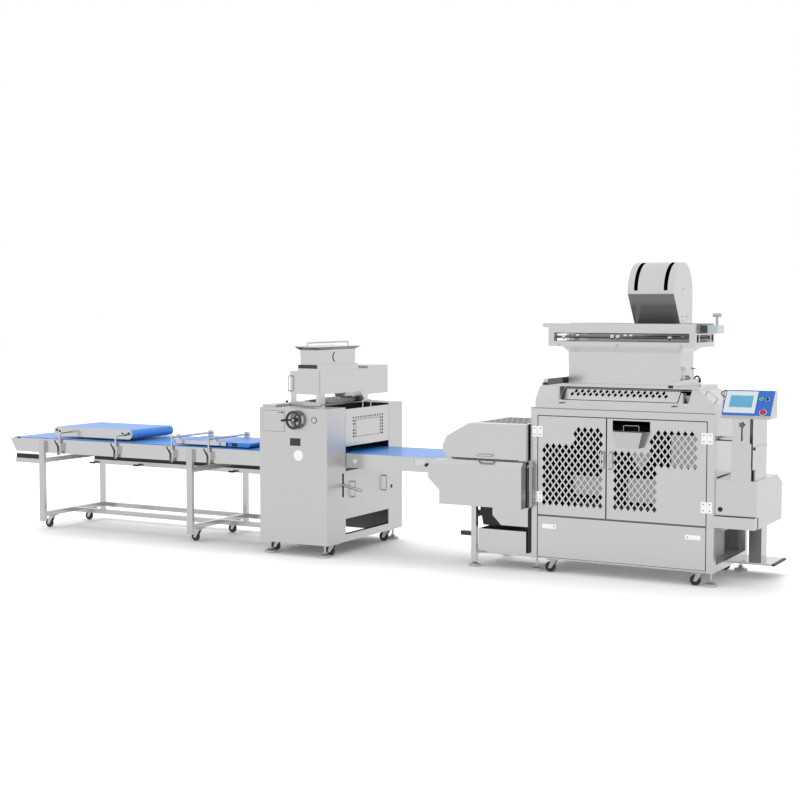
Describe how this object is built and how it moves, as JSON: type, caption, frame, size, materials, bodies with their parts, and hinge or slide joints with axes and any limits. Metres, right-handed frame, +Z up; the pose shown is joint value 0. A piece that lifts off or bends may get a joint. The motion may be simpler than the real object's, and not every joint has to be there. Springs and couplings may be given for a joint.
{
  "type": "dough forming machine",
  "caption": "Dough forming line: a dough divider with hopper and perforated doors feeds a belt, a sheeting moulder with a flour duster, and a long make-up table with pressing boards.",
  "frame": {"origin": "centre of the line's bounding box at floor level", "axes": "+X along the line from the table to the divider, +Y from the operator's side to the back, +Z up"},
  "size_m": [7.062, 1.514, 2.3675],
  "materials": {
    "steel": "brushed",
    "blue_belt": "matt",
    "black_plastic": "matt",
    "dark_plastic": "satin",
    "blue_fascia": "satin",
    "green_plastic": "gloss",
    "red_plastic": "gloss",
    "motor_paint": "satin",
    "castor_rubber": "matt",
    "white_plastic": "matt"
  },
  "bodies": {
    "line": {"cabinet_panels": "steel", "control_fascia": "blue_fascia", "control_tower": "steel", "divider_frame": "steel", "dough_hopper": "steel", "duster_body": "steel", "feed_hood": "steel", "gearmotor": "motor_paint", "hopper_frame": "steel", "infeed_belt": "blue_belt", "infeed_frame": "steel", "levelling_feet": "steel", "moulder_housing": "steel", "outfeed_frame": "steel", "parked_castors": "steel", "side_housing": "steel", "table_belt": "blue_belt", "table_panels": "steel", "table_stand": "steel"},
    "left_door": {"left_door": "steel"},
    "right_door": {"right_door": "steel"},
    "door_pan": {"door_pan": "steel"},
    "roller_guard": {"roller_guard": "steel"},
    "side_tray": {"side_tray": "steel"},
    "start_button": {"start_button": "green_plastic"},
    "emergency_stop": {"emergency_stop": "red_plastic"},
    "selector_switch": {"selector_switch": "black_plastic"},
    "star_knob": {"star_knob": "black_plastic"},
    "feed_roller_front": {"feed_roller_front": "steel"},
    "feed_roller_rear": {"feed_roller_rear": "steel"},
    "dividing_drum": {"dividing_drum": "steel"},
    "outfeed_hood": {"outfeed_hood": "steel"},
    "outfeed_cover": {"outfeed_cover": "steel"},
    "scrap_bin": {"scrap_bin": "steel"},
    "infeed_roller": {"infeed_roller": "steel"},
    "moulder_guard": {"moulder_guard": "steel"},
    "gap_lever": {"gap_lever": "steel"},
    "handwheel": {"handwheel": "dark_plastic"},
    "roller_carriage": {"roller_carriage": "steel"},
    "upper_roller": {"upper_roller": "steel"},
    "lower_roller": {"lower_roller": "steel"},
    "duster_lid": {"duster_lid": "steel"},
    "duster_roller": {"duster_roller": "white_plastic"},
    "table_roller": {"table_roller": "steel"},
    "clamp_lever_1": {"clamp_lever_1": "steel"},
    "clamp_lever_2": {"clamp_lever_2": "steel"},
    "clamp_lever_3": {"clamp_lever_3": "steel"},
    "clamp_lever_4": {"clamp_lever_4": "steel"},
    "castor_fork_1": {"castor_fork_1": "steel"},
    "castor_fork_2": {"castor_fork_2": "steel"},
    "castor_fork_3": {"castor_fork_3": "steel"},
    "castor_fork_4": {"castor_fork_4": "steel"},
    "castor_wheel_1": {"castor_wheel_1": "castor_rubber"},
    "castor_wheel_2": {"castor_wheel_2": "castor_rubber"},
    "castor_wheel_3": {"castor_wheel_3": "castor_rubber"},
    "castor_wheel_4": {"castor_wheel_4": "castor_rubber"},
    "press_board": {"press_board": "steel", "press_belt": "blue_belt"},
    "smoothing_board": {"smoothing_board": "blue_belt", "smoothing_rods": "steel"}
  },
  "joints": [
    {"name": "left_door_swing", "type": "hinge", "parent": "line", "child": "left_door", "pos_m": [1.7255, -0.338, 0.823], "axis": [0, 0, 1], "range_deg": [-95, 0]},
    {"name": "right_door_swing", "type": "hinge", "parent": "line", "child": "right_door", "pos_m": [3.0585, -0.338, 0.823], "axis": [0, 0, 1], "range_deg": [0, 95]},
    {"name": "door_pan_lift", "type": "slide", "parent": "right_door", "child": "door_pan", "axis": [0, 0, 1], "range_m": [0, 0.03]},
    {"name": "roller_guard_flap", "type": "hinge", "parent": "line", "child": "roller_guard", "pos_m": [2.373, -0.229, 1.4175], "axis": [-1, 0, 0], "range_deg": [0, 50]},
    {"name": "side_tray_pull", "type": "slide", "parent": "line", "child": "side_tray", "axis": [0, -1, 0], "range_m": [0, 0.3]},
    {"name": "start_button_press", "type": "slide", "parent": "line", "child": "start_button", "axis": [0, 0.8109, -0.5852], "range_m": [0, 0.004], "stiffness_N_per_m": 500},
    {"name": "emergency_stop_press", "type": "slide", "parent": "line", "child": "emergency_stop", "axis": [0, 0.8109, -0.5852], "range_m": [0, 0.006], "stiffness_N_per_m": 800},
    {"name": "selector_turn", "type": "hinge", "parent": "line", "child": "selector_switch", "pos_m": [3.48876, -0.3144, 1.37686], "axis": [0, -0.8109, 0.5852], "range_deg": [-45, 45]},
    {"name": "star_knob_turn", "type": "hinge", "parent": "line", "child": "star_knob", "pos_m": [3.3165, -0.351, 1.1946], "axis": [0, -1, 0], "range_deg": [-360, 360]},
    {"name": "dividing_drum_turn", "type": "hinge", "parent": "line", "child": "dividing_drum", "pos_m": [2.392, -0.031, 1.02], "axis": [1, 0, 0], "continuous": true},
    {"name": "feed_roller_front_turn", "type": "hinge", "parent": "line", "child": "feed_roller_front", "pos_m": [2.413, -0.126, 1.3505], "axis": [1, 0, 0], "continuous": true},
    {"name": "feed_roller_rear_turn", "type": "hinge", "parent": "line", "child": "feed_roller_rear", "pos_m": [2.413, 0.014, 1.3505], "axis": [1, 0, 0], "continuous": true},
    {"name": "outfeed_hood_lift", "type": "hinge", "parent": "line", "child": "outfeed_hood", "pos_m": [1.309, 0.289, 0.857], "axis": [-1, 0, 0], "range_deg": [0, 75]},
    {"name": "outfeed_cover_swing", "type": "hinge", "parent": "line", "child": "outfeed_cover", "pos_m": [1.662, -0.374, 0.65], "axis": [0, 0, 1], "range_deg": [0, 95]},
    {"name": "scrap_bin_pull", "type": "slide", "parent": "line", "child": "scrap_bin", "axis": [0, -1, 0], "range_m": [0, 0.45]},
    {"name": "infeed_roller_turn", "type": "hinge", "parent": "line", "child": "infeed_roller", "pos_m": [-0.178, 0.002, 0.7947], "axis": [0, 1, 0], "continuous": true},
    {"name": "moulder_guard_flap", "type": "hinge", "parent": "line", "child": "moulder_guard", "pos_m": [0.0145, 0.001, 1.186], "axis": [0, -1, 0], "range_deg": [0, 100]},
    {"name": "gap_lever_set", "type": "hinge", "parent": "line", "child": "gap_lever", "pos_m": [-0.331, -0.397, 0.652], "axis": [0, 1, 0], "range_deg": [-8, 12]},
    {"name": "handwheel_turn", "type": "hinge", "parent": "line", "child": "handwheel", "pos_m": [-0.275, -0.688, 1.117], "axis": [0, 1, 0], "range_deg": [0, 360]},
    {"name": "roller_carriage_gap", "type": "slide", "parent": "line", "child": "roller_carriage", "axis": [0, 0, 1], "range_m": [0, 0.02]},
    {"name": "upper_roller_turn", "type": "hinge", "parent": "roller_carriage", "child": "upper_roller", "pos_m": [-0.3045, 0.001, 0.9175], "axis": [0, 1, 0], "continuous": true},
    {"name": "lower_roller_turn", "type": "hinge", "parent": "line", "child": "lower_roller", "pos_m": [-0.3045, 0.001, 0.7945], "axis": [0, 1, 0], "continuous": true},
    {"name": "duster_lid_lift", "type": "hinge", "parent": "line", "child": "duster_lid", "pos_m": [-0.452, -0.063, 1.702], "axis": [0, -1, 0], "range_deg": [0, 100]},
    {"name": "duster_roller_turn", "type": "hinge", "parent": "line", "child": "duster_roller", "pos_m": [-0.353, 0.012, 1.228], "axis": [0, 1, 0], "continuous": true},
    {"name": "table_roller_turn", "type": "hinge", "parent": "line", "child": "table_roller", "pos_m": [-3.4785, -0.075, 0.7947], "axis": [0, 1, 0], "continuous": true},
    {"name": "press_board_height", "type": "slide", "parent": "line", "child": "press_board", "axis": [0, 0, 1], "range_m": [-0.012, 0.06]},
    {"name": "smoothing_board_height", "type": "slide", "parent": "line", "child": "smoothing_board", "axis": [0, 0, 1], "range_m": [-0.005, 0.05]},
    {"name": "clamp_lever_1_turn", "type": "hinge", "parent": "line", "child": "clamp_lever_1", "pos_m": [-2.915, -0.535, 0.765], "axis": [0, 1, 0], "range_deg": [-40, 40]},
    {"name": "clamp_lever_2_turn", "type": "hinge", "parent": "line", "child": "clamp_lever_2", "pos_m": [-2.263, -0.535, 0.765], "axis": [0, 1, 0], "range_deg": [-40, 40]},
    {"name": "clamp_lever_3_turn", "type": "hinge", "parent": "line", "child": "clamp_lever_3", "pos_m": [-1.64, -0.535, 0.765], "axis": [0, 1, 0], "range_deg": [-40, 40]},
    {"name": "clamp_lever_4_turn", "type": "hinge", "parent": "line", "child": "clamp_lever_4", "pos_m": [-1.245, -0.535, 0.765], "axis": [0, 1, 0], "range_deg": [-40, 40]},
    {"name": "castor_1_swivel", "type": "hinge", "parent": "line", "child": "castor_fork_1", "pos_m": [-3.134, -0.389, 0.1], "axis": [0, 0, 1], "continuous": true},
    {"name": "castor_1_roll", "type": "hinge", "parent": "castor_fork_1", "child": "castor_wheel_1", "pos_m": [-3.164, -0.389, 0.04], "axis": [0, 1, 0], "continuous": true},
    {"name": "castor_2_swivel", "type": "hinge", "parent": "line", "child": "castor_fork_2", "pos_m": [-3.134, 0.16, 0.1], "axis": [0, 0, 1], "continuous": true},
    {"name": "castor_2_roll", "type": "hinge", "parent": "castor_fork_2", "child": "castor_wheel_2", "pos_m": [-3.164, 0.16, 0.04], "axis": [0, 1, 0], "continuous": true},
    {"name": "castor_3_swivel", "type": "hinge", "parent": "line", "child": "castor_fork_3", "pos_m": [-1.456, -0.389, 0.1], "axis": [0, 0, 1], "continuous": true},
    {"name": "castor_3_roll", "type": "hinge", "parent": "castor_fork_3", "child": "castor_wheel_3", "pos_m": [-1.486, -0.389, 0.04], "axis": [0, 1, 0], "continuous": true},
    {"name": "castor_4_swivel", "type": "hinge", "parent": "line", "child": "castor_fork_4", "pos_m": [-1.456, 0.16, 0.1], "axis": [0, 0, 1], "continuous": true},
    {"name": "castor_4_roll", "type": "hinge", "parent": "castor_fork_4", "child": "castor_wheel_4", "pos_m": [-1.486, 0.16, 0.04], "axis": [0, 1, 0], "continuous": true}
  ],
  "couplings": [
    {"joint": "feed_roller_front_turn", "follows": "dividing_drum_turn", "ratio": 1},
    {"joint": "feed_roller_rear_turn", "follows": "dividing_drum_turn", "ratio": -1},
    {"joint": "upper_roller_turn", "follows": "lower_roller_turn", "ratio": -1},
    {"joint": "handwheel_turn", "follows": "roller_carriage_gap", "rad_per_m": 314.16}
  ]
}
